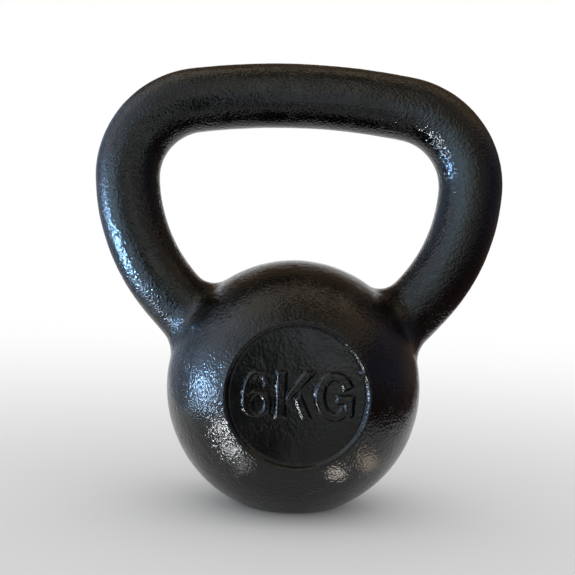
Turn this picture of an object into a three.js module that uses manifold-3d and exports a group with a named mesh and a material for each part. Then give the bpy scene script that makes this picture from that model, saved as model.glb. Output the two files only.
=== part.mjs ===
// A 6 kg iron kettlebell: a round ball with a flat base, a closed loop handle of round bar, a fillet where
// each leg of the handle meets the ball, and a round face sunk into the front and the back of the ball.
// The front face carries the weight in raised characters.
//
// Millimetres, +Z up. The origin is the middle of the flat base, the marked face looks along -Y, and the
// handle's loop lies in the XZ plane.

import * as THREE from "three";
import { ParametricGeometry } from "three/addons/geometries/ParametricGeometry.js";
import { mergeVertices } from "three/addons/utils/BufferGeometryUtils.js";
import Module from "manifold-3d";

const wasm = await Module();
wasm.setup();

// ---- driving dimensions ----

const GAP = 0.3; // clearance between neighbouring pieces

const BALL_RADIUS = 54.5;
const BASE_RADIUS = 20.2; // the flat that the ball stands on

const GRIP_RADIUS = 13.8; // the handle is one round bar
const GRIP_HEIGHT = 127; // ball's centre to the bar's centreline, at the middle of the grip
// Half of the bar's centreline, from the middle of the grip round to the leg, as arcs in degrees.
const GRIP_ARC = { radius: 289.6, sweep: 9.3 };
const SHOULDER_ARC = { radius: 34.1, sweep: 84.2 };
const LEG_ARC = { radius: 80.4, sweep: 39.3 };
const LEG_RUN = 24; // the straight end of the leg; its last 12 mm are let into the ball

const CROTCH_FILLET = 10; // radius inside the loop
const OUTER_FILLET = 13.5; // radius outside the loop

const RIM_RADIUS = 27.7; // where the hollow breaks the ball's surface
const FACE_RADIUS = 25.3;
const FACE_THICKNESS = 4;
const FACE_DEPTH = 2.1; // rim to face, so that the wall slopes at 45 degrees
const FACE_EDGE = 0.5; // chamfer round the face

const CAP_HEIGHT = 18.4; // height of the characters
const STROKE = 3.8; // width of their strokes
const RELIEF = 1.3; // how far they stand out
const LETTER_SPACE = 1.3;

const BALL_FACETS = 64;
const BAR_FACETS = 24;
const BAR_STEPS = 84; // sections along the handle
const FILLET_FACETS = 40;

const BALL_HEIGHT = Math.sqrt(BALL_RADIUS ** 2 - BASE_RADIUS ** 2); // base to the ball's centre
const RIM_Y = Math.sqrt(BALL_RADIUS ** 2 - RIM_RADIUS ** 2); // ball's centre to the plane of the rim
const FACE_Y = RIM_Y - FACE_DEPTH;

const rad = THREE.MathUtils.degToRad;

// ---- finishes ----

function enamel(color, roughness) {
  return new THREE.MeshStandardMaterial({ color, roughness, metalness: 0.1 });
}

const pebbledEnamel = enamel(0x1c1d1f, 0.38);
const gripEnamel = enamel(0x1b1c1d, 0.42);
const smoothEnamel = enamel(0x161719, 0.45);

// ---- from three.js geometry to solids and back ----

function weld(geometry) {
  const bare = geometry.clone();
  bare.deleteAttribute("normal");
  bare.deleteAttribute("uv");
  const welded = mergeVertices(bare, 1e-4);
  const corners = welded.index.array;
  const faces = [];
  for (let i = 0; i < corners.length; i += 3) {
    const [a, b, c] = corners.slice(i, i + 3);
    if (a !== b && b !== c && c !== a) faces.push(a, b, c);
  }
  return welded.setIndex(faces);
}

function toSolid(geometry) {
  const welded = weld(geometry);
  const vertProperties = new Float32Array(welded.attributes.position.array);
  const triVerts = new Uint32Array(welded.index.array);
  return new wasm.Manifold(new wasm.Mesh({ numProp: 3, vertProperties, triVerts }));
}

function toGeometry(solid) {
  const mesh = solid.getMesh();
  const geometry = new THREE.BufferGeometry();
  geometry.setAttribute("position", new THREE.BufferAttribute(mesh.vertProperties, 3));
  geometry.setIndex(new THREE.BufferAttribute(mesh.triVerts, 1));
  geometry.computeVertexNormals();
  return geometry;
}

function turned(profile, facets) {
  return new THREE.LatheGeometry(profile.map(([r, y]) => new THREE.Vector2(r, y)), facets);
}

// Lathe work on the ball's front-to-back axis: side is 1 for the back and -1 for the front.
function onBallAxis(geometry, side) {
  if (side < 0) geometry.rotateX(Math.PI);
  return geometry.translate(0, 0, BALL_HEIGHT);
}

// ---- the handle ----

const HALF_ARCS = [GRIP_ARC, SHOULDER_ARC, LEG_ARC].map(({ radius, sweep }) => ({ radius, sweep: rad(sweep) }));
const ARCS_LENGTH = HALF_ARCS.reduce((sum, { radius, sweep }) => sum + radius * sweep, 0);
const HALF_LENGTH = ARCS_LENGTH + LEG_RUN;

// A point on the right half of the centreline, by its distance along the bar from the middle of the grip.
// The heading is the angle that the bar has turned, clockwise, from +X.
function onCentreline(distance) {
  let x = 0;
  let z = BALL_HEIGHT + GRIP_HEIGHT;
  let heading = 0;
  let left = distance;
  for (const { radius, sweep } of HALF_ARCS) {
    const turn = Math.min(left / radius, sweep);
    x += radius * (Math.sin(heading + turn) - Math.sin(heading));
    z += radius * (Math.cos(heading + turn) - Math.cos(heading));
    heading += turn;
    left -= radius * turn;
  }
  return { x: x + left * Math.cos(heading), z: z - left * Math.sin(heading), heading };
}

class Centreline extends THREE.Curve {
  constructor(halfLength) {
    super();
    this.halfLength = halfLength;
  }

  getPoint(t, target = new THREE.Vector3()) {
    const distance = (2 * t - 1) * this.halfLength;
    const { x, z } = onCentreline(Math.abs(distance));
    return target.set(Math.sign(distance) * x, 0, z);
  }
}

function makeBar(radius, halfLength) {
  return new THREE.ExtrudeGeometry(new THREE.Shape().absarc(0, 0, radius, 0, 2 * Math.PI), {
    extrudePath: new Centreline(halfLength),
    steps: BAR_STEPS,
    curveSegments: BAR_FACETS / 2, // counted for half a turn
    bevelEnabled: false,
  });
}

function makeHandle() {
  return makeBar(GRIP_RADIUS, HALF_LENGTH);
}

// ---- the ball ----

function makeBlank() {
  const profile = [[0, 0]];
  const edge = Math.asin(BASE_RADIUS / BALL_RADIUS);
  const steps = BALL_FACETS / 2 - 3; // the base takes the place of three rows of facets
  for (let i = 0; i < steps; i++) {
    const angle = THREE.MathUtils.lerp(edge, Math.PI, i / steps);
    profile.push([BALL_RADIUS * Math.sin(angle), BALL_HEIGHT - BALL_RADIUS * Math.cos(angle)]);
  }
  profile.push([0, BALL_HEIGHT + BALL_RADIUS]);
  return turned(profile, BALL_FACETS).rotateX(Math.PI / 2);
}

// The hollow that a face sits in: a straight seat, then a wall that flares out through the rim.
function makeHollow(side) {
  const seatRadius = FACE_RADIUS + GAP;
  const mouthY = BALL_RADIUS + 1;
  const flare = (RIM_RADIUS - seatRadius) / FACE_DEPTH;
  const bottom = FACE_Y - FACE_THICKNESS - GAP;
  const profile = [
    [0, bottom],
    [seatRadius, bottom],
    [seatRadius, FACE_Y],
    [RIM_RADIUS + flare * (mouthY - RIM_Y), mouthY],
    [0, mouthY],
  ];
  return onBallAxis(turned(profile, BALL_FACETS), side);
}

function makeBall() {
  const sockets = makeBar(GRIP_RADIUS + GAP, HALF_LENGTH + GAP);
  const solid = toSolid(makeBlank())
    .subtract(toSolid(makeHollow(-1)))
    .subtract(toSolid(makeHollow(1)))
    .subtract(toSolid(sockets));
  return toGeometry(solid);
}

// ---- the sunk faces ----

function makeFace(side) {
  const back = FACE_Y - FACE_THICKNESS;
  const profile = [
    [0, back],
    [FACE_RADIUS, back],
    [FACE_RADIUS, FACE_Y - FACE_EDGE],
    [FACE_RADIUS - FACE_EDGE, FACE_Y],
    [0, FACE_Y],
  ];
  return onBallAxis(turned(profile, BALL_FACETS), side);
}

// ---- the root fillets ----

const BALL_CENTRE = new THREE.Vector3(0, 0, BALL_HEIGHT);

// A point beside the right leg: how far along the centreline, at what angle round the bar (0 is outside the
// loop) and how far from the centreline.
function besideLeg(distance, angle, offset) {
  const { x, z, heading } = onCentreline(distance);
  const outward = offset * Math.cos(angle);
  return new THREE.Vector3(
    x + outward * Math.sin(heading),
    offset * Math.sin(angle),
    z + outward * Math.cos(heading),
  );
}

// How far along the leg such a point comes to a given distance from the ball's centre.
function whereLegNears(angle, offset, fromCentre) {
  let above = ARCS_LENGTH - LEG_ARC.radius * rad(LEG_ARC.sweep);
  let below = HALF_LENGTH;
  for (let i = 0; i < 40; i++) {
    const middle = (above + below) / 2;
    if (besideLeg(middle, angle, offset).distanceTo(BALL_CENTRE) > fromCentre) above = middle;
    else below = middle;
  }
  return above;
}

// The fillet's section at one angle round the leg. A sphere rolled round the root touches both leg and ball,
// and the short arc between its two touching points is the fillet's hollow side. The other two sides follow
// the ball and the leg, a gap away from each.
const HOLLOW_STEPS = 7;
const SECTION_POINTS = HOLLOW_STEPS + 4;

function filletSection(angle) {
  const share = (1 + Math.cos(angle)) / 2; // 1 outside the loop, 0 in the crotch
  const radius = THREE.MathUtils.lerp(CROTCH_FILLET, OUTER_FILLET, share);
  const middle = whereLegNears(angle, GRIP_RADIUS + radius, BALL_RADIUS + radius);
  const centre = besideLeg(middle, angle, GRIP_RADIUS + radius);
  const toLeg = besideLeg(middle, angle, GRIP_RADIUS).sub(centre).normalize();
  const toBall = BALL_CENTRE.clone().sub(centre).normalize();
  const opening = toLeg.angleTo(toBall);
  const trim = Math.acos(1 - GAP / radius); // where the arc comes within a gap of leg and ball

  const section = [];
  for (let i = 0; i <= HOLLOW_STEPS; i++) {
    const turn = THREE.MathUtils.lerp(trim, opening - trim, i / HOLLOW_STEPS);
    section.push(
      centre
        .clone()
        .addScaledVector(toLeg, (radius * Math.sin(opening - turn)) / Math.sin(opening))
        .addScaledVector(toBall, (radius * Math.sin(turn)) / Math.sin(opening)),
    );
  }
  const corner = whereLegNears(angle, GRIP_RADIUS + GAP, BALL_RADIUS + GAP);
  const inCorner = besideLeg(corner, angle, GRIP_RADIUS + GAP);
  const onBall = section[HOLLOW_STEPS].clone().lerp(inCorner, 0.5).sub(BALL_CENTRE);
  onBall.setLength(BALL_RADIUS + GAP).add(BALL_CENTRE);
  section.push(onBall, inCorner, besideLeg((middle + corner) / 2, angle, GRIP_RADIUS + GAP));
  return section;
}

function makeRootFillet(side) {
  const point = (u, v, target) => {
    const section = filletSection(-side * 2 * Math.PI * u);
    target.copy(section[Math.round(v * SECTION_POINTS) % SECTION_POINTS]);
    target.x *= side;
  };
  return weld(new ParametricGeometry(point, FILLET_FACETS, SECTION_POINTS));
}

// ---- the raised characters ----
// Each is drawn with its lower left corner at the origin, and joined from plain strokes.

function raise(outline) {
  const depth = RELIEF - GAP;
  return toSolid(new THREE.ExtrudeGeometry(outline, { depth, curveSegments: 16, bevelEnabled: false }));
}

function polygon(...corners) {
  return new THREE.Shape(corners.map(([x, y]) => new THREE.Vector2(x, y)));
}

// A slanting stroke with level ends: left ends of its foot and head, and its width measured level.
function slant([footX, footY], [headX, headY], width) {
  return polygon([footX, footY], [footX + width, footY], [headX + width, headY], [headX, headY]);
}

// A stroke along an oval, from one angle to another in degrees, anticlockwise.
function ovalStroke(x, y, halfWidth, halfHeight, from, to) {
  const shape = new THREE.Shape();
  shape.absellipse(x, y, halfWidth, halfHeight, rad(from), rad(to), false, 0);
  shape.absellipse(x, y, halfWidth - STROKE, halfHeight - STROKE, rad(to), rad(from), true, 0);
  return shape;
}

function ovalRing(x, y, halfWidth, halfHeight) {
  const shape = new THREE.Shape();
  shape.absellipse(x, y, halfWidth, halfHeight, 0, 2 * Math.PI, false, 0);
  const counter = new THREE.Path();
  counter.absellipse(x, y, halfWidth - STROKE, halfHeight - STROKE, 0, 2 * Math.PI, true, 0);
  shape.holes.push(counter);
  return shape;
}

const SIX_WIDTH = 10.6;
const K_WIDTH = 14.4;
const G_WIDTH = 15.2;

function makeSix() {
  const half = SIX_WIDTH / 2;
  const bowlHalf = 0.32 * CAP_HEIGHT;
  const bowl = raise(ovalRing(half, bowlHalf, half, bowlHalf));
  const back = raise(ovalStroke(half, CAP_HEIGHT / 2, half, CAP_HEIGHT / 2, 38, 200));
  return bowl.add(back);
}

function makeK() {
  const waist = 0.59 * CAP_HEIGHT; // where the leg's outer edge meets the arm's
  const lean = 5; // how far the leg leans back up to the waist
  const stem = raise(polygon([0, 0], [STROKE, 0], [STROKE, CAP_HEIGHT], [0, CAP_HEIGHT]));
  const arm = raise(slant([STROKE / 2, 0.38 * CAP_HEIGHT], [K_WIDTH - 1.25 * STROKE, CAP_HEIGHT], STROKE));
  const leg = raise(slant([K_WIDTH - STROKE, 0], [K_WIDTH - STROKE - lean, waist], STROKE));
  return stem.add(arm).add(leg);
}

function makeG() {
  const half = G_WIDTH / 2;
  const barTop = CAP_HEIGHT / 2;
  const barBottom = barTop - 0.85 * STROKE;
  const spur = G_WIDTH - STROKE;
  const bowl = raise(ovalStroke(half, CAP_HEIGHT / 2, half, CAP_HEIGHT / 2, 26, 318));
  const bar = raise(
    polygon(
      [half, barTop],
      [half, barBottom],
      [spur, barBottom],
      [spur, STROKE],
      [G_WIDTH - 0.55 * STROKE, 0.35 * STROKE],
      [G_WIDTH, 0.7 * STROKE],
      [G_WIDTH, barTop],
    ),
  );
  return bowl.add(bar);
}

const MARK_WIDTH = SIX_WIDTH + K_WIDTH + G_WIDTH + 2 * LETTER_SPACE;

// Stands a character on the front face, its left edge at this distance from the left end of the mark.
function onFrontFace(solid, left) {
  return toGeometry(solid)
    .translate(left - MARK_WIDTH / 2, -CAP_HEIGHT / 2, 0)
    .rotateX(Math.PI / 2)
    .translate(0, -FACE_Y - GAP, BALL_HEIGHT);
}

// ---- assembly ----

const kettlebell = new THREE.Group();

function place(name, geometry, finish) {
  const mesh = new THREE.Mesh(geometry, finish);
  mesh.name = name;
  kettlebell.add(mesh);
}

place("ball", makeBall(), pebbledEnamel);
place("handle", makeHandle(), gripEnamel);
place("left_root_fillet", makeRootFillet(-1), gripEnamel);
place("right_root_fillet", makeRootFillet(1), gripEnamel);
place("front_face", makeFace(-1), smoothEnamel);
place("rear_face", makeFace(1), smoothEnamel);
place("numeral_6", onFrontFace(makeSix(), 0), smoothEnamel);
place("letter_k", onFrontFace(makeK(), SIX_WIDTH + LETTER_SPACE), smoothEnamel);
place("letter_g", onFrontFace(makeG(), MARK_WIDTH - G_WIDTH), smoothEnamel);

export default kettlebell;
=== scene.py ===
# A black enamelled iron kettlebell, built piece by piece round the fixed model.
# Lengths are in metres. The marked face looks along -Y and the handle's loop lies in the XZ plane.
from math import atan2, ceil, cos, exp, hypot, pi, radians, sin, sqrt, tan

import bmesh
import bpy
from mathutils import Matrix, Vector, noise


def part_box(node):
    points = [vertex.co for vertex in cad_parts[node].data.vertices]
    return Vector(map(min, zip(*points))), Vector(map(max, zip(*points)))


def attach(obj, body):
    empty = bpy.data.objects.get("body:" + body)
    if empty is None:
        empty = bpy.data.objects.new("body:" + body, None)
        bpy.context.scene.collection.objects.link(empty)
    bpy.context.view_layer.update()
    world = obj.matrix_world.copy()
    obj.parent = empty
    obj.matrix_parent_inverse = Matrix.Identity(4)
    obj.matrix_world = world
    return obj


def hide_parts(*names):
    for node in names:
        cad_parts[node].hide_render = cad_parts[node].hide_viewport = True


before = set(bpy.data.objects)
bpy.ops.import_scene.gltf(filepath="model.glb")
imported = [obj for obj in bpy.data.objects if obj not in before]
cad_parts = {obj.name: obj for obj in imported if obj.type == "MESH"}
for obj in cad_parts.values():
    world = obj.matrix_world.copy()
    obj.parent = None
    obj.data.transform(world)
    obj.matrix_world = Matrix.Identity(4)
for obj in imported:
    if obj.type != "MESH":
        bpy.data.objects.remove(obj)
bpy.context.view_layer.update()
mm = 0.001

# the ball is what every other piece is placed from
ball = {
    "radius": 54.5 * mm,
    "rimRadius": 27.7 * mm,  # where the hollow breaks the surface
    "rimRound": 1.05 * mm,
    "wallFoot": 26.3 * mm,  # radius of the hollow's wall at the foot
    "footRound": 0.5 * mm,
    "hollowDepth": 1.55 * mm,
    "rimRun": 0.06,  # radians of the surface beyond the rim that count as straight for its round
    "ledgeDrop": 0.04 * mm,  # the ledge round the face lies this much under it
    "ledgeWidth": 1.6 * mm,  # how far the ledge runs in under the face
    "ledgeSkirt": 1.5 * mm,  # how far its inner edge turns down
    "baseRound": 0.7 * mm,
    "hollowRoughness": 0.4,  # share of the casting's unevenness that the hollows have
    "hollowFade": (0.98, 0.08),  # where the rest comes in, and over how much, as shares of the rim's radius
    # a casting flaw inside the front rim
    "nib": {"angle": 21, "reach": 26.4 * mm, "size": 0.9 * mm, "height": 0.75 * mm},
    "around": 480,
    "rings": 150,
}
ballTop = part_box("ball")[1].z
ballCentre = Vector((0, 0, ballTop - ball["radius"]))
rimY = sqrt(ball["radius"] ** 2 - ball["rimRadius"] ** 2)
faceY = rimY - ball["hollowDepth"]

# how far the sand casting stands off its ideal surface: size of each kind of lump, and its height
castSurface = {
    "waves": (23.0 * mm, 0.12 * mm),
    "lumps": (6.5 * mm, 0.05 * mm),
    "pebbles": (2.3 * mm, 0.04 * mm),
}
groundFade = 2.5 * mm  # the base is ground flat, and the unevenness comes in over this height


def castingHeight(place):
    # each kind of lump reads its own part of the noise
    height = 0.0
    for kind, (size, depth) in enumerate(castSurface.values()):
        height += depth * noise.noise(place / size + Vector((7.3 * kind, 0, 0)))
    return height


def roughCast(bm, amount=lambda place: 1.0):
    # moves every point along its normal by the casting's height
    bm.normal_update()
    for vert in bm.verts:
        fade = min(1, max(0, vert.co.z / groundFade))
        vert.co += vert.normal * castingHeight(vert.co) * fade * amount(vert.co)


def softStart(value, soft):
    # nothing below zero and the value itself above it, with a smooth turn between
    if value < -soft:
        return 0
    return value if value > soft else (value + soft) ** 2 / (4 * soft)


def meshFrom(name, bm):
    mesh = bpy.data.meshes.new(name)
    bm.to_mesh(mesh)
    bm.free()
    return mesh


def addObject(name, data):
    made = bpy.data.objects.new(name, data)
    bpy.context.scene.collection.objects.link(made)
    return made


def makePiece(name, bm, finish, node):
    bmesh.ops.recalc_face_normals(bm, faces=bm.faces)
    mesh = meshFrom(name, bm)
    mesh.shade_smooth()
    mesh.materials.append(finishes[finish])
    piece = addObject(name, mesh)
    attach(piece, "root")
    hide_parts(node)
    print("made", name, len(mesh.polygons), "faces")


def arc(centre, radius, start, end, steps):
    # points of an arc in a lathe outline, angles in radians
    turns = [start + (end - start) * i / steps for i in range(steps + 1)]
    return [(centre[0] + radius * cos(a), centre[1] + radius * sin(a)) for a in turns]


def roundedCorner(before, corner, after, radius, steps):
    # the arc that rounds a corner of an outline
    corner = Vector(corner)
    back = (Vector(before) - corner).normalized()
    on = (Vector(after) - corner).normalized()
    half = back.angle(on) / 2
    centre = corner + (back + on).normalized() * radius / sin(half)
    reach = radius * cos(half) / sin(half)
    start, end = corner + back * reach - centre, corner + on * reach - centre
    first = atan2(start.y, start.x)
    return arc(centre, radius, first, first + end.angle_signed(start), steps)


def lathe(outline, steps):
    # spins an outline of (radius, y) points round the ball's front-to-back axis
    bm = bmesh.new()
    verts = [bm.verts.new((r, y, 0)) for r, y in outline]
    edges = [bm.edges.new(pair) for pair in zip(verts, verts[1:])]
    bmesh.ops.spin(
        bm, geom=verts + edges, cent=(0, 0, 0), axis=(0, 1, 0), angle=2 * pi, steps=steps, use_merge=True
    )
    bmesh.ops.remove_doubles(bm, verts=bm.verts, dist=0.005 * mm)
    bmesh.ops.translate(bm, verts=bm.verts, vec=ballCentre)
    return bm


# shader nodes

def addNode(tree, kind, **settings):
    # a setting is either one of the node's inputs or one of its properties
    node = tree.nodes.new(kind)
    for key, value in settings.items():
        if key in node.inputs:
            node.inputs[key].default_value = value
        else:
            setattr(node, key, value)
    return node


def addMath(tree, operation, *values):
    node = tree.nodes.new("ShaderNodeMath")
    node.operation = operation
    for socket, value in zip(node.inputs, values):
        if isinstance(value, (int, float)):
            socket.default_value = value
        else:
            tree.links.new(value, socket)
    return node.outputs[0]


def newGroup(name, inputs, outputs):
    # the node group, the sockets that bring its inputs in and the sockets that take its outputs
    group = bpy.data.node_groups.new(name, "ShaderNodeTree")
    for socket, value in inputs.items():
        kind = "NodeSocketColor" if isinstance(value, tuple) else "NodeSocketFloat"
        group.interface.new_socket(socket, in_out="INPUT", socket_type=kind).default_value = value
    for socket, kind in outputs.items():
        group.interface.new_socket(socket, in_out="OUTPUT", socket_type=kind)
    return group, group.nodes.new("NodeGroupInput").outputs, group.nodes.new("NodeGroupOutput").inputs


def makePebbledSkin():
    # enamel over sand-cast iron: worm-like ripples with low domes under them and a fine grain, rougher
    # in patches
    group, given, out = newGroup(
        "pebbledSkin",
        {"Ripple size": 0.85, "Domes": 0.4, "Grain": 0.15, "Patches": 0.5, "In hollows": 1.0, "Specks": 0.5},
        {"Height": "NodeSocketFloat"},
    )
    place = addNode(group, "ShaderNodeTexCoord").outputs["Object"]
    scaled = addNode(group, "ShaderNodeVectorMath", operation="SCALE")
    group.links.new(place, scaled.inputs[0])
    group.links.new(addMath(group, "DIVIDE", 1 / mm, given["Ripple size"]), scaled.inputs["Scale"])
    cells = addNode(group, "ShaderNodeTexVoronoi", feature="SMOOTH_F1", Scale=0.55, Smoothness=0.7)
    ripple = addNode(group, "ShaderNodeTexNoise", Scale=1.0, Detail=1.0, Roughness=0.4)
    grain = addNode(group, "ShaderNodeTexNoise", Scale=2.7, Detail=1.0, Roughness=0.5)
    for texture in (cells, ripple, grain):
        group.links.new(scaled.outputs[0], texture.inputs["Vector"])
    dome = addMath(group, "SUBTRACT", 0.6, cells.outputs["Distance"])
    domes = addMath(group, "MULTIPLY", dome, given["Domes"])
    waves = addMath(group, "ADD", ripple.outputs["Fac"], domes)
    height = addMath(group, "MULTIPLY_ADD", grain.outputs["Fac"], given["Grain"], waves)
    patches = addNode(group, "ShaderNodeTexNoise", Scale=85.0, Detail=2.0, Roughness=0.5)
    group.links.new(place, patches.inputs["Vector"])
    patchy = addNode(group, "ShaderNodeMapRange", **{"From Min": 0.35, "From Max": 0.65})
    group.links.new(patches.outputs["Fac"], patchy.inputs["Value"])
    group.links.new(addMath(group, "SUBTRACT", 1, given["Patches"]), patchy.inputs["To Min"])
    group.links.new(addMath(group, "ADD", 1, given["Patches"]), patchy.inputs["To Max"])
    # a few grains of sand stand up under the enamel
    grit = addNode(group, "ShaderNodeTexVoronoi", Scale=1 / (5 * mm))
    group.links.new(place, grit.inputs["Vector"])
    speck = addNode(
        group, "ShaderNodeMapRange", interpolation_type="SMOOTHSTEP", **{"From Min": 0.11, "From Max": 0.01}
    )
    group.links.new(grit.outputs["Distance"], speck.inputs["Value"])
    group.links.new(given["Specks"], speck.inputs["To Max"])
    uneven = addMath(group, "MULTIPLY_ADD", height, patchy.outputs["Result"], speck.outputs["Result"])
    # all of it gentler near the axis of the two hollows
    toAxis = addNode(group, "ShaderNodeVectorMath", operation="MULTIPLY_ADD")
    group.links.new(place, toAxis.inputs[0])
    toAxis.inputs[1].default_value = (1, 0, 1)
    toAxis.inputs[2].default_value = (0, 0, -ballCentre.z)
    reach = addNode(group, "ShaderNodeVectorMath", operation="LENGTH")
    group.links.new(toAxis.outputs[0], reach.inputs[0])
    inner, outer = ball["rimRadius"] - 0.2 * mm, ball["rimRadius"] + 0.6 * mm
    level = addNode(group, "ShaderNodeMapRange", **{"From Min": inner, "From Max": outer})
    group.links.new(reach.outputs["Value"], level.inputs["Value"])
    group.links.new(given["In hollows"], level.inputs["To Min"])
    group.links.new(addMath(group, "MULTIPLY", uneven, level.outputs["Result"]), out["Height"])
    return group


def makeEnamelTone():
    # slow changes of shade and gloss over the enamel
    group, given, out = newGroup(
        "enamelTone",
        {
            "Deep": (0.0007, 0.0007, 0.0008, 1), "Light": (0.0026, 0.0025, 0.0024, 1),
            "Gloss": 0.1, "Dull": 0.2,
        },
        {"Color": "NodeSocketColor", "Roughness": "NodeSocketFloat"},
    )
    place = addNode(group, "ShaderNodeTexCoord").outputs["Object"]
    clouds = addNode(group, "ShaderNodeTexNoise", Scale=70.0, Detail=4.0, Roughness=0.6)
    group.links.new(place, clouds.inputs["Vector"])
    mix = addNode(group, "ShaderNodeMix", data_type="RGBA")
    group.links.new(clouds.outputs["Fac"], mix.inputs[0])
    group.links.new(given["Deep"], mix.inputs[6])
    group.links.new(given["Light"], mix.inputs[7])
    group.links.new(mix.outputs[2], out["Color"])
    gloss = addNode(group, "ShaderNodeMapRange", **{"From Min": 0.3, "From Max": 0.7})
    group.links.new(clouds.outputs["Fac"], gloss.inputs["Value"])
    group.links.new(given["Gloss"], gloss.inputs["To Min"])
    group.links.new(given["Dull"], gloss.inputs["To Max"])
    group.links.new(gloss.outputs["Result"], out["Roughness"])
    return group


pebbledSkin = makePebbledSkin()
enamelTone = makeEnamelTone()

# size, of a ripple, and depth, of the whole bump, are in millimetres; gloss and dull are roughnesses
enamels = {
    "pebbledEnamel": {
        "size": 0.95, "domes": 0.4, "grain": 0.16, "patches": 0.35, "hollows": 0.5, "specks": 0.55,
        "depth": 0.24, "gloss": 0.08, "dull": 0.16,
    },
    "gripEnamel": {
        "size": 1.02, "domes": 0.35, "grain": 0.12, "patches": 0.35, "hollows": 1.0, "specks": 0.45,
        "depth": 0.3, "gloss": 0.09, "dull": 0.18,
    },
    "smoothEnamel": {
        "size": 1.2, "domes": 0.6, "grain": 0.25, "patches": 0.7, "hollows": 1.0, "specks": 1.4,
        "depth": 0.07, "gloss": 0.12, "dull": 0.26,
    },
    "markEnamel": {
        "size": 1.0, "domes": 0.2, "grain": 0.1, "patches": 0.3, "hollows": 1.0, "specks": 0.0,
        "depth": 0.1, "gloss": 0.1, "dull": 0.18,
    },
}


skinSockets = {
    "size": "Ripple size", "domes": "Domes", "grain": "Grain", "patches": "Patches",
    "hollows": "In hollows", "specks": "Specks",
}


def makeEnamel(name):
    look = enamels[name]
    material = bpy.data.materials.new(name)
    material.use_nodes = True
    tree = material.node_tree
    shader = tree.nodes["Principled BSDF"]
    shader.inputs["IOR"].default_value = 1.47
    skin = addNode(tree, "ShaderNodeGroup", node_tree=pebbledSkin)
    for key, socket in skinSockets.items():
        skin.inputs[socket].default_value = look[key]
    bump = addNode(tree, "ShaderNodeBump", Strength=1.0, Distance=look["depth"] * mm)
    tree.links.new(skin.outputs["Height"], bump.inputs["Height"])
    tree.links.new(bump.outputs["Normal"], shader.inputs["Normal"])
    tone = addNode(tree, "ShaderNodeGroup", node_tree=enamelTone)
    tone.inputs["Gloss"].default_value = look["gloss"]
    tone.inputs["Dull"].default_value = look["dull"]
    tree.links.new(tone.outputs["Color"], shader.inputs["Base Color"])
    tree.links.new(tone.outputs["Roughness"], shader.inputs["Roughness"])
    return material


finishes = {name: makeEnamel(name) for name in enamels}
print("enamels ready")


# the ball

def hollowOutline():
    # from under the face's edge, up the wall and over the rim, to where the ball's surface begins
    ledgeY = faceY - ball["ledgeDrop"]
    under = (ball["wallFoot"] - ball["ledgeWidth"], ledgeY)
    foot = (ball["wallFoot"], ledgeY)
    rim = (ball["rimRadius"], rimY)
    slope = atan2(rimY, ball["rimRadius"]) - ball["rimRun"]
    beyond = (ball["radius"] * cos(slope), ball["radius"] * sin(slope))
    points = [(under[0], ledgeY - ball["ledgeSkirt"]), under]
    points += roundedCorner(under, foot, rim, ball["footRound"], 6)
    points += roundedCorner(foot, rim, beyond, ball["rimRound"], 8)
    return points


def flattenBase(bm):
    # presses the bottom of the ball flat, with a small round to its edge
    for vert in bm.verts:
        vert.co.z = softStart(vert.co.z, ball["baseRound"])


def raiseNib(bm):
    # pulls the wall of the front hollow out into a small bump
    nib = ball["nib"]
    angle = radians(nib["angle"])
    middle = ballCentre + Vector((nib["reach"] * cos(angle), -faceY, nib["reach"] * sin(angle)))
    for vert in bm.verts:
        away = (vert.co - middle).length / nib["size"]
        if away < 3:
            vert.co.y -= nib["height"] * exp(-away ** 2)


def hollowSmoothness(place):
    # the hollows are cast smoother than the ball
    reach = hypot(place.x, place.z - ballCentre.z) / ball["rimRadius"]
    start, width = ball["hollowFade"]
    least = ball["hollowRoughness"]
    return least + (1 - least) * min(1, max(0, (reach - start) / width))


def buildBall():
    hollow = hollowOutline()
    start = atan2(hollow[-1][1], hollow[-1][0])
    curve = arc((0, 0), ball["radius"], start, 0, ball["rings"] // 2)
    half = hollow + curve[1:]
    front = [(r, -y) for r, y in reversed(half[:-1])]
    bm = lathe(half + front, ball["around"])
    flattenBase(bm)
    for end in (1, -1):
        loop = [e for e in bm.edges if e.is_boundary and e.verts[0].co.y * end > 0]
        bmesh.ops.edgeloop_fill(bm, edges=loop)
    bmesh.ops.recalc_face_normals(bm, faces=bm.faces)
    roughCast(bm, hollowSmoothness)
    raiseNib(bm)
    makePiece("ballCasting", bm, "pebbledEnamel", "ball")


# the handle

handle = {
    "gripRadius": 13.8 * mm,
    "gripHeight": 127 * mm,  # from the ball's centre to the bar's centreline
    "arcs": [(289.6 * mm, 9.3), (34.1 * mm, 84.2), (80.4 * mm, 39.3)],  # radius, sweep in degrees
    "legRun": 24 * mm,
    "around": 116,
    "step": 0.76 * mm,
}


def onCentreline(distance):
    # a point of the right half of the bar's centreline, and how far the bar has turned, clockwise, from +X
    x, z, heading, left = 0.0, ballCentre.z + handle["gripHeight"], 0.0, distance
    for radius, sweep in handle["arcs"]:
        turn = min(left / radius, radians(sweep))
        x += radius * (sin(heading + turn) - sin(heading))
        z += radius * (cos(heading + turn) - cos(heading))
        heading += turn
        left -= radius * turn
    return Vector((x + left * cos(heading), 0, z - left * sin(heading))), heading


arcsLength = sum(radius * radians(sweep) for radius, sweep in handle["arcs"])


def onlyEdges(geom):
    return [g for g in geom if isinstance(g, bmesh.types.BMEdge)]


def endsOf(edges):
    return list({v for e in edges for v in e.verts})


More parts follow.
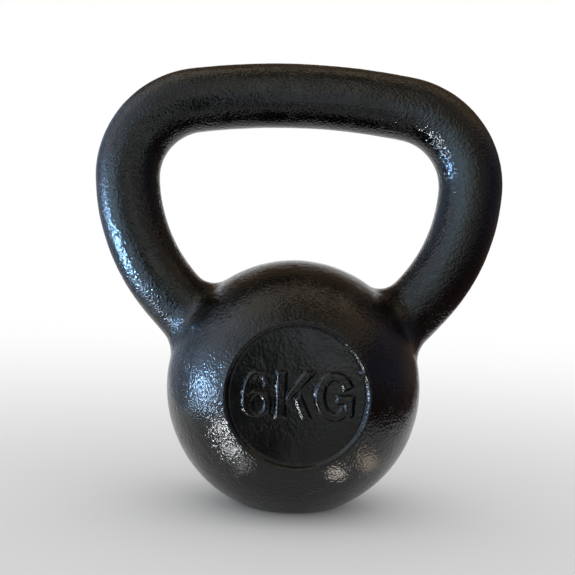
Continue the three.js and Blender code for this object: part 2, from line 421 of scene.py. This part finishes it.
def buildHandle():
    bm = bmesh.new()
    bmesh.ops.create_circle(bm, segments=handle["around"], radius=handle["gripRadius"])
    bmesh.ops.rotate(bm, verts=bm.verts, cent=(0, 0, 0), matrix=Matrix.Rotation(pi / 2, 3, "Y"))
    bmesh.ops.translate(bm, verts=bm.verts, vec=onCentreline(0)[0])
    ring = bm.edges[:]
    gone = 0.0
    for radius, sweep in handle["arcs"]:
        point, heading = onCentreline(gone)
        pivot = point - Vector((sin(heading), 0, cos(heading))) * radius
        steps = ceil(radius * radians(sweep) / handle["step"])
        spun = bmesh.ops.spin(
            bm, geom=endsOf(ring) + ring, cent=pivot, axis=(0, 1, 0), angle=radians(sweep), steps=steps
        )
        ring = onlyEdges(spun["geom_last"])
        gone += radius * radians(sweep)
    heading = onCentreline(gone)[1]
    steps = ceil(handle["legRun"] / handle["step"])
    move = Vector((cos(heading), 0, -sin(heading))) * handle["legRun"] / steps
    for _ in range(steps):
        made = bmesh.ops.extrude_edge_only(bm, edges=ring)["geom"]
        ring = [e for e in onlyEdges(made) if e.is_boundary]
        bmesh.ops.translate(bm, verts=endsOf(ring), vec=move)
    bmesh.ops.edgeloop_fill(bm, edges=ring)
    bmesh.ops.mirror(bm, geom=bm.verts[:] + bm.edges[:] + bm.faces[:], axis="X", merge_dist=0.01 * mm)
    bmesh.ops.remove_doubles(bm, verts=bm.verts, dist=0.005 * mm)
    bmesh.ops.recalc_face_normals(bm, faces=bm.faces)
    roughCast(bm)
    makePiece("handleBar", bm, "gripEnamel", "handle")


# the root fillets

fillet = {
    "crotch": 10 * mm,  # radius inside the loop
    "outer": 13.5 * mm,  # radius outside the loop
    "proud": 0.012 * mm,
    "tail": 3.6 * mm,  # how far the sides run on under the skin of ball and leg
    "tailSink": 40,  # they sink by this times the square of that run, in metres
    "backDepth": 5 * mm,  # how deep the hidden back bows into the iron
    "around": 168,
    "hollowSteps": 24,
    "tailSteps": 6,
    "backSteps": 5,
}


def besideLeg(distance, angle, offset):
    # a point off the right leg's centreline; angle 0 is outside the loop
    point, heading = onCentreline(distance)
    out = offset * cos(angle)
    return point + Vector((out * sin(heading), offset * sin(angle), out * cos(heading)))


def whereLegNears(angle, offset, fromCentre):
    # halves a stretch of the leg until only the place at the given distance from the ball's centre is left
    radius, sweep = handle["arcs"][2]
    above, below = arcsLength - radius * radians(sweep), arcsLength + handle["legRun"]
    for _ in range(40):
        middle = (above + below) / 2
        if (besideLeg(middle, angle, offset) - ballCentre).length > fromCentre:
            above = middle
        else:
            below = middle
    return above


def filletSection(angle):
    # a sphere rolled round the root touches leg and ball, and its near side is the fillet's hollow face
    share = (1 + cos(angle)) / 2
    radius = fillet["crotch"] + (fillet["outer"] - fillet["crotch"]) * share
    middle = whereLegNears(angle, handle["gripRadius"] + radius, ball["radius"] + radius)
    centre = besideLeg(middle, angle, handle["gripRadius"] + radius)
    toLeg = (besideLeg(middle, angle, handle["gripRadius"]) - centre).normalized()
    toBall = (ballCentre - centre).normalized()
    opening = toLeg.angle(toBall)
    across = (toBall - toLeg * cos(opening)) / sin(opening)
    near = radius - fillet["proud"]
    turns = [opening * i / fillet["hollowSteps"] for i in range(fillet["hollowSteps"] + 1)]
    hollow = [centre + (toLeg * cos(a) + across * sin(a)) * near for a in turns]
    # on from both ends of the hollow, dipping slowly under the leg and the ball
    along = (across * cos(opening) - toLeg * sin(opening)).normalized()
    legTail, ballTail = [], []
    for i in range(1, fillet["tailSteps"] + 1):
        run = fillet["tail"] * i / fillet["tailSteps"]
        sink = fillet["tailSink"] * run ** 2 - fillet["proud"]
        legTail.append(besideLeg(middle - run, angle, handle["gripRadius"] - sink))
        over = hollow[-1] + along * run - ballCentre
        ballTail.append(ballCentre + over.normalized() * (ball["radius"] - sink))
    start, end = ballTail[-1], legTail[-1]
    deep = centre + (toLeg + toBall).normalized() * (radius + fillet["backDepth"])
    shares = [i / fillet["backSteps"] for i in range(1, fillet["backSteps"])]
    back = [start * (1 - t) ** 2 + deep * 2 * t * (1 - t) + end * t ** 2 for t in shares]
    return legTail[::-1] + hollow + ballTail + back


def buildFillet(name, side, node):
    # a sheet closed on itself both ways, round the root and round each section
    around = fillet["around"]
    sections = [filletSection(2 * pi * i / around) for i in range(around)]
    count = len(sections[0])
    bm = bmesh.new()
    bmesh.ops.create_grid(bm, x_segments=around, y_segments=count, size=0.5)
    for vert in bm.verts:
        i = round((vert.co.x + 0.5) * around) % around
        j = round((vert.co.y + 0.5) * count) % count
        vert.co = sections[i][j]
        vert.co.x *= side
    bmesh.ops.remove_doubles(bm, verts=bm.verts, dist=0.002 * mm)
    bmesh.ops.recalc_face_normals(bm, faces=bm.faces)
    roughCast(bm)
    makePiece(name, bm, "gripEnamel", node)


# the sunk faces

face = {"radius": 25.95 * mm, "thickness": 4 * mm, "edge": 0.12 * mm, "rings": 40, "around": 240}


def buildFace(name, side, node):
    r, back = face["radius"], faceY - face["thickness"]
    corner = roundedCorner((0, faceY), (r, faceY), (r, back), face["edge"], 4)
    step = corner[0][0] / face["rings"]
    flat = [(step * i, faceY) for i in range(face["rings"])]
    outline = flat + corner + [(r, back), (0, back)]
    bm = lathe([(radius, y * side) for radius, y in outline], face["around"])
    bmesh.ops.recalc_face_normals(bm, faces=bm.faces)
    roughCast(bm, hollowSmoothness)
    makePiece(name, bm, "smoothEnamel", node)


# the raised weight mark, in millimetres from each character's lower left corner

mark = {
    "relief": 1.15,
    "steepness": 0.95,
    "footRound": 0.18,
    "edgeRound": 0.28,
    "sink": 0.05,
    "root": 1.6,  # how far the back lies behind the face
    "skirt": 0.4,  # how far the foot runs on round the strokes
    "blend": 0.5,  # strokes run into each other over this length
    "cornerRound": 1.0,
    "height": 19.3,
    "step": 0.16,
    "margin": 0.6,  # of the sheet that each character is cut from
    "left": -21.8,
    "rise": 0.3,
}


def inOval(x, y, centre, half):
    # roughly how far inside an oval's edge a point lies
    u, v = (x - centre[0]) / half[0], (y - centre[1]) / half[1]
    reach = hypot(u, v)
    steepness = hypot(u / half[0], v / half[1])
    return (1 - reach) * reach / steepness if steepness > 1e-6 else min(half)


def inRing(x, y, outer, inner):
    # outer and inner are ovals, each a centre and its half width and half height
    return min(inOval(x, y, *outer), -inOval(x, y, *inner))


def leftOf(x, y, start, end):
    # how far a point lies to the left of the line from start to end
    dx, dy = end[0] - start[0], end[1] - start[1]
    return (dx * (y - start[1]) - dy * (x - start[0])) / hypot(dx, dy)


def leftOfRay(x, y, centre, degrees):
    return leftOf(x, y, centre, (centre[0] + cos(radians(degrees)), centre[1] + sin(radians(degrees))))


def inWedge(x, y, centre, first, last):
    # between two rays, going anticlockwise from first to last
    return min(leftOfRay(x, y, centre, first), -leftOfRay(x, y, centre, last))


def joined(*depths, blend=mark["blend"]):
    # the greatest depth, with a smooth turn where two are nearly alike
    total = depths[0]
    for depth in depths[1:]:
        overlap = max(blend - abs(total - depth), 0) / blend
        total = max(total, depth) + overlap ** 2 * blend / 4
    return total


def inPolygon(x, y, *corners):
    # corners go round anticlockwise, and each is rounded off
    sides = [-leftOf(x, y, a, b) for a, b in zip(corners, corners[1:] + corners[:1])]
    return -joined(*sides, blend=mark["cornerRound"])


def insideSix(x, y):
    bowl = inRing(x, y, ((6.1, 5.8), (6.1, 5.8)), ((6.75, 5.8), (1.45, 2.7)))
    back = inRing(x, y, ((6.1, 9.65), (6.1, 9.65)), ((6.6, 9.65), (1.9, 6.1)))
    back = min(back, inWedge(x, y, (6.1, 9.65), 38, 200))
    side = inPolygon(x, y, (0, 4.8), (4.9, 4.8), (4.9, 10.6), (0, 10.6))
    return joined(bowl, back, side)


def insideK(x, y):
    stem = inPolygon(x, y, (0, 0), (4.9, 0), (4.9, 19.3), (0, 19.3))
    arm = inPolygon(x, y, (3.6, 4.4), (16.6, 19.3), (11.2, 19.3), (3.6, 9.4))
    leg = inPolygon(x, y, (10.7, 0), (15.3, 0), (9.9, 11.4), (7.0, 8.3))
    return joined(stem, arm, leg)


def insideG(x, y):
    centre = (8.05, 9.65)
    bow = inRing(x, y, (centre, (8.05, 9.65)), (centre, (3.2, 5.6)))
    gap = inWedge(x, y, centre, -45, 25)
    bar = inPolygon(x, y, (8.3, 6.4), (16, 6.4), (16, 10.6), (8.3, 10.6))
    spur = inPolygon(x, y, (11.4, 3.2), (13.4, 0.9), (16, 2.4), (16, 10.6), (11.4, 10.6))
    return joined(min(bow, -gap), bar, spur)


characters = {
    "numeralSix": {"node": "numeral_6", "width": 12.2, "left": 0.0, "inside": insideSix},
    "letterK": {"node": "letter_k", "width": 16.6, "left": 12.9, "inside": insideK},
    "letterG": {"node": "letter_g", "width": 16.1, "left": 27.8, "inside": insideG},
}


def strokeHeight(depth):
    # a stroke's side slopes, rounded at foot and top, and goes on down outside the foot
    side = softStart(depth * mark["steepness"], mark["footRound"])
    top = mark["relief"] - softStart(mark["relief"] - side, mark["edgeRound"])
    return top - mark["sink"] + min(0, depth)


def buildCharacter(name):
    # a fine sheet cut to the character's outline, thickened and pressed to the height of the strokes
    shape = characters[name]
    margin = mark["margin"]
    width, height = shape["width"] + 2 * margin, mark["height"] + 2 * margin
    columns, rows = round(width / mark["step"]), round(height / mark["step"])
    bm = bmesh.new()
    bmesh.ops.create_grid(bm, x_segments=columns, y_segments=rows, size=0.5)
    bmesh.ops.scale(bm, verts=bm.verts, vec=(width, height, 1))
    bmesh.ops.translate(bm, verts=bm.verts, vec=(width / 2 - margin, height / 2 - margin, 0))
    outside = [v for v in bm.verts if shape["inside"](v.co.x, v.co.y) < -mark["skirt"]]
    bmesh.ops.delete(bm, geom=outside, context="VERTS")
    front = bm.verts[:]
    bmesh.ops.extrude_face_region(bm, geom=bm.faces[:])
    inFront = set(front)
    for vert in bm.verts:
        x, y = vert.co.x, vert.co.y
        out = strokeHeight(shape["inside"](x, y)) if vert in inFront else -mark["root"]
        across = mark["left"] + shape["left"] + x
        up = y - mark["height"] / 2 + mark["rise"]
        vert.co = ballCentre + Vector((across * mm, -faceY - out * mm, up * mm))
    bmesh.ops.recalc_face_normals(bm, faces=bm.faces)
    roughCast(bm, hollowSmoothness)
    makePiece(name, bm, "markEnamel", shape["node"])


buildBall()
buildHandle()
buildFillet("leftRootFillet", -1, "left_root_fillet")
buildFillet("rightRootFillet", 1, "right_root_fillet")
buildFace("frontFace", -1, "front_face")
buildFace("rearFace", 1, "rear_face")
for name in characters:
    buildCharacter(name)


# the studio

studio = {
    "worldLight": 0.95,
    "floorRadius": 6,
    "floorColour": 0.72,
    "floorGlow": 0.04,  # near the object; it fades up to the white of the background
    "fadeNear": 0.12,
    "fadeReach": 0.35,  # the smaller this is, the sooner the fade is done
}

# lamps that only the gloss shows; radiance is along the aim, and fades to nothing at the edge of the spread
lamps = {
    "window": {
        "radiance": 26, "colour": (0.3, 0.6, 1), "place": (-0.9, -0.06, 0.06), "size": (0.15, 0.11),
        "aim": (0, 0, 0.1), "spread": 180,
    },
    "windowGlare": {
        "radiance": 390, "colour": (0.42, 0.69, 1), "place": (-0.9, -0.06, 0.055), "size": (0.03, 0.034),
        "aim": (0, 0, 0.1), "spread": 180,
    },
    "windowOnFloor": {
        "radiance": 58, "colour": (0.7, 0.86, 1), "place": (-0.5, -0.085, 0.003), "size": (0.1, 0.05),
        "aim": (0, -0.045, 0.05), "spread": 22,
    },
    "floorGlintFar": {
        "radiance": 85, "colour": (0.93, 0.96, 1), "place": (-0.08, -0.058, 0.004), "size": (0.01, 0.01),
        "aim": (0, -0.02, 0.045), "spread": 80,
    },
    "floorGlintNear": {
        "radiance": 26, "colour": (0.95, 0.97, 1), "place": (-0.048, -0.05, 0.004), "size": (0.009, 0.009),
        "aim": (0, -0.03, 0.05), "spread": 110,
    },
    "floorGlintUnder": {
        "radiance": 3.5, "colour": (0.95, 0.97, 1), "place": (-0.032, -0.045, 0.003), "size": (0.009, 0.006),
        "aim": (0, -0.04, 0.06), "spread": 110,
    },
    "floorGlintRight": {
        "radiance": 8, "colour": (1, 0.9, 0.8), "place": (0.026, -0.044, 0.003), "size": (0.011, 0.006),
        "aim": (0.02, -0.035, 0.03), "spread": 140,
    },
    "floorGlowRight": {
        "radiance": 2.2, "colour": (1, 0.8, 0.6), "place": (0.05, -0.035, 0.003), "size": (0.022, 0.012),
        "aim": (0.02, -0.035, 0.03), "spread": 140,
    },
    "cornerGlint": {
        "radiance": 420, "colour": (0.87, 0.96, 1), "place": (-0.078, -0.1, 0.003), "size": (0.02, 0.02),
        "aim": (0.056, -0.008, 0.158), "spread": 23,
    },
    "cornerBlue": {
        "radiance": 1600, "colour": (0.33, 0.66, 1), "place": (-0.394, -0.09, 0.003), "size": (0.03, 0.03),
        "aim": (0.064, 0.005, 0.152), "spread": 15,
    },
}

# painted reflections: a room that only the gloss shows, as glowing sheets that stand, mats on the floor and
# sheets overhead, which light nothing and cast no shadow. One that glows in another colour above has the two
# heights between which its glow turns into it
paintedReflections = {
    # painted dark reflections of a camera and of a person behind it, seen in the front of the kettlebell
    "cameraBoard": {
        "glow": (0.04, 0.04, 0.04),
        "corners": [(-0.2, -0.37, 0), (0.005, -0.37, 0), (0.005, -0.37, 0.055), (-0.2, -0.37, 0.055)],
    },
    "bodyBoard": {
        "glow": (0.09, 0.09, 0.08), "glowAbove": (0.56, 0.58, 0.55), "rise": (0.03, 0.2),
        "corners": [(-0.24, -0.42, 0), (-0.045, -0.46, 0), (-0.045, -0.46, 0.8), (-0.24, -0.42, 0.8)],
    },
    "chestBoard": {
        "glow": (0.06, 0.06, 0.06), "glowAbove": (0.25, 0.26, 0.25), "rise": (0.03, 0.13),
        "corners": [(-0.045, -0.46, 0), (0.003, -0.46, 0), (0.003, -0.46, 0.13), (-0.045, -0.46, 0.13)],
    },
    # painted reflections of walls round the object: bright and bluish to the left, dark and brown to the
    # right
    "frontBoard": {
        "glow": (0.95, 1.08, 1.12), "glowAbove": (1.1, 1.1, 0.95), "rise": (0.1, 0.6),
        "corners": [(-0.16, -1.5, 0), (0.3, -1.5, 0), (0.3, -1.5, 1.7), (-0.16, -1.5, 1.7)],
    },
    "besideFrontBoard": {
        "glow": (1.2, 1.55, 1.85), "glowAbove": (1.15, 1.3, 1.35), "rise": (0.1, 0.6),
        "corners": [(-0.35, -1.5, 0), (-0.16, -1.5, 0), (-0.16, -1.5, 1.7), (-0.35, -1.5, 1.7)],
    },
    "frontRightBoard": {
        "glow": (0.3, 0.3, 0.34), "glowAbove": (0.4, 0.36, 0.3), "rise": (0.2, 0.7),
        "corners": [(0.3, -1.5, 0), (1.0, -0.8, 0), (1.0, -0.8, 1.7), (0.3, -1.5, 1.7)],
    },
    "frontLeftBoard": {
        "glow": (2.0, 2.8, 3.7), "glowAbove": (0.9, 1.05, 1.2), "rise": (0.2, 0.6),
        "corners": [(-1.3, -0.55, 0), (-0.35, -1.5, 0), (-0.35, -1.5, 1.7), (-1.3, -0.55, 1.7)],
    },
    "leftBoard": {
        "glow": (1.4, 2.0, 3.0), "glowAbove": (1.25, 1.35, 1.5), "rise": (0.2, 0.7),
        "corners": [(-1.3, 0.35, 0), (-1.3, -0.55, 0), (-1.3, -0.55, 1.7), (-1.3, 0.35, 1.7)],
    },
    "backLeftBoard": {
        "glow": (0.42, 0.5, 0.65), "glowAbove": (0.36, 0.46, 0.62), "rise": (0.2, 0.8),
        "corners": [(-0.85, 2.1, 0), (-1.3, 0.35, 0), (-1.3, 0.35, 1.7), (-0.85, 2.1, 1.7)],
    },
    "rightBoard": {
        "glow": (0.12, 0.11, 0.16), "glowAbove": (0.6, 0.45, 0.31), "rise": (0.5, 1.1),
        "corners": [(1.0, -0.8, 0), (1.0, 0.6, 0), (1.0, 0.6, 1.7), (1.0, -0.8, 1.7)],
    },
    "backRightBoard": {
        "glow": (0.16, 0.11, 0.08), "glowAbove": (0.1, 0.08, 0.06), "rise": (0.1, 0.4),
        "corners": [(1.0, 0.6, 0), (0.93, 2.1, 0), (0.93, 2.1, 1.7), (1.0, 0.6, 1.7)],
    },
    # painted reflections of a ceiling, warm and dim
    "topFrontBoard": {
        "glow": (0.27, 0.23, 0.17),
        "corners": [(-0.6, -0.6, 0.95), (0.6, -0.6, 0.95), (0.6, -0.06, 0.95), (-0.6, -0.06, 0.95)],
    },
    "topBoard": {
        "glow": (0.88, 0.72, 0.52),
        "corners": [(-0.6, -0.06, 0.95), (0.6, -0.06, 0.95), (0.6, 0.2, 0.95), (-0.6, 0.2, 0.95)],
    },
    "topBackBoard": {
        "glow": (0.17, 0.12, 0.08),
        "corners": [(-0.6, 0.2, 0.95), (1.0, 0.2, 0.95), (1.0, 1.75, 0.95), (-1.0, 1.75, 0.95)],
    },
    "topLeftBoard": {
        "glow": (0.92, 0.88, 0.78),
        "corners": [(-0.6, -0.45, 0.94), (-0.2, -0.45, 0.94), (-0.2, 0.3, 0.94), (-0.6, 0.3, 0.94)],
    },
    # painted sheen on the handle: pale sheets standing close to the bar and the legs, brighter and bluer up
    # the right leg's sheet
    "gripBoard": {
        "glow": (0.66, 0.76, 0.77), "glowAbove": (0.72, 0.82, 0.84), "rise": (0.085, 0.15),
        "corners": [
            (-0.03, -0.12, 0.085), (0.05, -0.12, 0.085), (0.1, -0.12, 0.11),
            (0.1, -0.12, 0.15), (-0.03, -0.12, 0.15),
        ],
    },
    "rightLegBoard": {
        "glow": (0.75, 0.8, 0.8), "glowAbove": (1.5, 2.1, 2.6), "rise": (0.108, 0.15),
        "oneSided": True,
        "corners": [(0.036, -0.13, 0.1), (0.036, -0.036, 0.1), (0.036, -0.036, 0.17), (0.036, -0.13, 0.17)],
    },
    "leftLegBoard": {
        "glow": (0.6, 0.72, 0.74),
        "corners": [(-0.17, -0.12, 0.1), (-0.105, -0.12, 0.1), (-0.105, -0.12, 0.17), (-0.17, -0.12, 0.17)],
    },
    # painted highlights and glints: a window's bright image lying on the floor to the left, and small very
    # bright spots on it, which put glints on the left leg, its root and the ball
    "windowMat": {
        "glow": (4, 7, 11.5),
        "corners": [
            (-0.88, -0.11, 0.002), (-0.25, -0.075, 0.002), (-0.25, -0.03, 0.002), (-0.88, 0.0, 0.002),
        ],
    },
    "rootMat": {
        "glow": (95, 110, 130),
        "corners": [
            (-0.195, -0.064, 0.003), (-0.178, -0.064, 0.003), (-0.178, -0.05, 0.003), (-0.195, -0.05, 0.003),
        ],
    },
    "glareMatNear": {
        "glow": (42, 82, 150),
        "corners": [
            (-0.272, -0.065, 0.003), (-0.25, -0.065, 0.003), (-0.25, -0.053, 0.003), (-0.272, -0.053, 0.003),
        ],
    },
    "glareMatMiddle": {
        "glow": (65, 125, 230),
        "corners": [
            (-0.382, -0.075, 0.003), (-0.36, -0.075, 0.003), (-0.36, -0.055, 0.003), (-0.382, -0.055, 0.003),
        ],
    },
    "glareMatFar": {
        "glow": (95, 180, 320),
        "corners": [
            (-0.53, -0.08, 0.003), (-0.5, -0.08, 0.003), (-0.5, -0.05, 0.003), (-0.53, -0.05, 0.003),
        ],
    },
    # painted reflections of the floor: bright and bluish to the left, grey close in front, dark to the right
    # and further in front
    "leftMat": {
        "glow": (1.3, 1.8, 2.4),
        "corners": [
            (-1.3, -0.8, 0.001), (-0.13, -0.8, 0.001), (-0.13, -0.125, 0.001),
            (-0.16, 0.02, 0.001), (-1.3, 0.2, 0.001),
        ],
    },
    "backLeftMat": {
        "glow": (0.4, 0.48, 0.6),
        "corners": [(-1.3, 0.2, 0.001), (-0.165, 0.02, 0.001), (-0.85, 2.1, 0.001)],
    },
    "rightMat": {
        "glow": (0.08, 0.055, 0.05),
        "corners": [
            (0.09, -0.125, 0.001), (0.2, -0.8, 0.001), (1.0, -0.8, 0.001),
            (1.0, 2.0, 0.001), (0.93, 2.0, 0.001),
        ],
    },
    "nearMat": {
        "glow": (0.3, 0.3, 0.28),
        "corners": [
            (-0.13, -0.165, 0.002), (0.1, -0.165, 0.002), (0.09, -0.125, 0.002), (-0.13, -0.125, 0.002),
        ],
    },
    "frontLeftMat": {
        "glow": (0.05, 0.05, 0.05),
        "corners": [
            (-0.13, -0.8, 0.002), (0.005, -0.8, 0.002), (0.005, -0.165, 0.002), (-0.13, -0.165, 0.002),
        ],
    },
    "frontRightMat": {
        "glow": (0.45, 0.45, 0.45),
        "corners": [(0.005, -0.8, 0.002), (0.2, -0.8, 0.002), (0.1, -0.165, 0.002), (0.005, -0.165, 0.002)],
    },
}


def addLamp(name):
    look = lamps[name]
    data = bpy.data.lights.new(name, "AREA")
    data.shape = "RECTANGLE"
    data.size, data.size_y = look["size"]
    data.spread = radians(look["spread"])
    half = data.spread / 2
    focus = tan(half) / (tan(half) - half) if look["spread"] < 180 else 1
    data.energy = pi * look["radiance"] * data.size * data.size_y / focus
    data.color = look["colour"]
    lamp = addObject(name, data)
    lamp.location = look["place"]
    lamp.rotation_euler = (Vector(look["aim"]) - lamp.location).to_track_quat("-Z", "Y").to_euler()
    lamp.visible_camera = lamp.visible_diffuse = False


def emptyMaterial(name):
    material = bpy.data.materials.new(name)
    material.use_nodes = True
    material.node_tree.nodes.clear()
    output = addNode(material.node_tree, "ShaderNodeOutputMaterial")
    return material, material.node_tree, output.inputs["Surface"]


def addPaintedReflection(name):
    look = paintedReflections[name]
    bm = bmesh.new()
    bm.faces.new([bm.verts.new(corner) for corner in look["corners"]])
    mesh = meshFrom(name, bm)
    material, tree, surface = emptyMaterial(name)
    height = addNode(tree, "ShaderNodeSeparateXYZ")
    tree.links.new(addNode(tree, "ShaderNodeTexCoord").outputs["Object"], height.inputs[0])
    start, end = look.get("rise", (0, 1))
    rise = addNode(
        tree, "ShaderNodeMapRange", interpolation_type="SMOOTHSTEP", **{"From Min": start, "From Max": end}
    )
    tree.links.new(height.outputs["Z"], rise.inputs["Value"])
    tint = addNode(tree, "ShaderNodeMix", data_type="RGBA")
    tree.links.new(rise.outputs[0], tint.inputs[0])
    tint.inputs[6].default_value = (*look["glow"], 1)
    tint.inputs[7].default_value = (*look.get("glowAbove", look["glow"]), 1)
    glow = addNode(tree, "ShaderNodeEmission", Strength=1.0)
    tree.links.new(tint.outputs[2], glow.inputs["Color"])
    if look.get("oneSided"):  # seen from its back it isn't there
        sides = addNode(tree, "ShaderNodeMixShader")
        tree.links.new(addNode(tree, "ShaderNodeNewGeometry").outputs["Backfacing"], sides.inputs[0])
        tree.links.new(glow.outputs[0], sides.inputs[1])
        tree.links.new(addNode(tree, "ShaderNodeBsdfTransparent").outputs[0], sides.inputs[2])
        tree.links.new(sides.outputs[0], surface)
    else:
        tree.links.new(glow.outputs[0], surface)
    mesh.materials.append(material)
    board = addObject(name, mesh)
    # only the gloss sees it: a painted reflection, lighting nothing and casting no shadow
    board.visible_camera = board.visible_diffuse = False
    board.visible_shadow = board.visible_transmission = False


def seenDirectly(tree):
    # 1 for camera rays, and for mirror and glass rays, which show the background too
    path = addNode(tree, "ShaderNodeLightPath").outputs
    seen = addMath(tree, "MAXIMUM", path["Is Camera Ray"], path["Is Glossy Ray"])
    return addMath(tree, "MAXIMUM", seen, path["Is Transmission Ray"])


def buildFloor():
    bm = bmesh.new()
    bmesh.ops.create_circle(bm, cap_ends=True, segments=96, radius=studio["floorRadius"])
    mesh = meshFrom("floor", bm)
    material, tree, surface = emptyMaterial("paleFloor")
    # the floor turns from its own colour to the background's as it nears the horizon
    reach = addNode(tree, "ShaderNodeVectorMath", operation="LENGTH")
    tree.links.new(addNode(tree, "ShaderNodeTexCoord").outputs["Object"], reach.inputs[0])
    soft = studio["fadeReach"]
    nearness = addMath(tree, "DIVIDE", 1, addMath(tree, "ADD", reach.outputs["Value"], soft))
    fade = addNode(
        tree, "ShaderNodeMapRange", interpolation_type="SMOOTHSTEP",
        **{"From Min": 1 / (studio["fadeNear"] + soft), "From Max": 1 / (studio["floorRadius"] + soft)},
    )
    tree.links.new(nearness, fade.inputs["Value"])
    lit = addMath(tree, "MULTIPLY", addMath(tree, "SUBTRACT", 1, fade.outputs[0]), studio["floorColour"])
    matt = addNode(tree, "ShaderNodeBsdfDiffuse")
    tree.links.new(lit, matt.inputs["Color"])
    lift = addMath(tree, "MULTIPLY_ADD", fade.outputs[0], 1 - studio["floorGlow"], studio["floorGlow"])
    glow = addNode(tree, "ShaderNodeEmission")
    tree.links.new(addMath(tree, "MULTIPLY", seenDirectly(tree), lift), glow.inputs["Strength"])
    both = addNode(tree, "ShaderNodeAddShader")
    tree.links.new(matt.outputs[0], both.inputs[0])
    tree.links.new(glow.outputs[0], both.inputs[1])
    tree.links.new(both.outputs[0], surface)
    mesh.materials.append(material)
    addObject("floor", mesh)


def buildWorld():
    world = bpy.data.worlds.new("studio")
    bpy.context.scene.world = world
    world.use_nodes = True
    tree = world.node_tree
    background = tree.nodes["Background"]
    background.inputs["Color"].default_value = (1, 1, 1, 1)
    level = studio["worldLight"]
    strength = addMath(tree, "MULTIPLY_ADD", seenDirectly(tree), 1 - level, level)
    tree.links.new(strength, background.inputs["Strength"])


buildFloor()
buildWorld()
for name in lamps:
    addLamp(name)
for name in paintedReflections:
    addPaintedReflection(name)
print("studio ready")


# the camera

view = {
    "offset": (-15.03 * mm, -350.12 * mm, 31.99 * mm),  # from the ball's centre
    "yaw": 1.81, "rise": 1.72, "roll": 2.07,  # degrees
    "lens": 50.09,
}


def addCamera():
    data = bpy.data.cameras.new("camera")
    data.lens = view["lens"]
    data.sensor_width = 36
    camera = addObject("camera", data)
    yaw = Matrix.Rotation(radians(-view["yaw"]), 3, "Z")
    rise = Matrix.Rotation(radians(90 + view["rise"]), 3, "X")
    roll = Matrix.Rotation(radians(view["roll"]), 3, "Z")
    camera.rotation_euler = (yaw @ rise @ roll).to_euler()
    camera.location = ballCentre + Vector(view["offset"])
    bpy.context.scene.camera = camera


addCamera()
bpy.context.scene.view_settings.view_transform = "Standard"
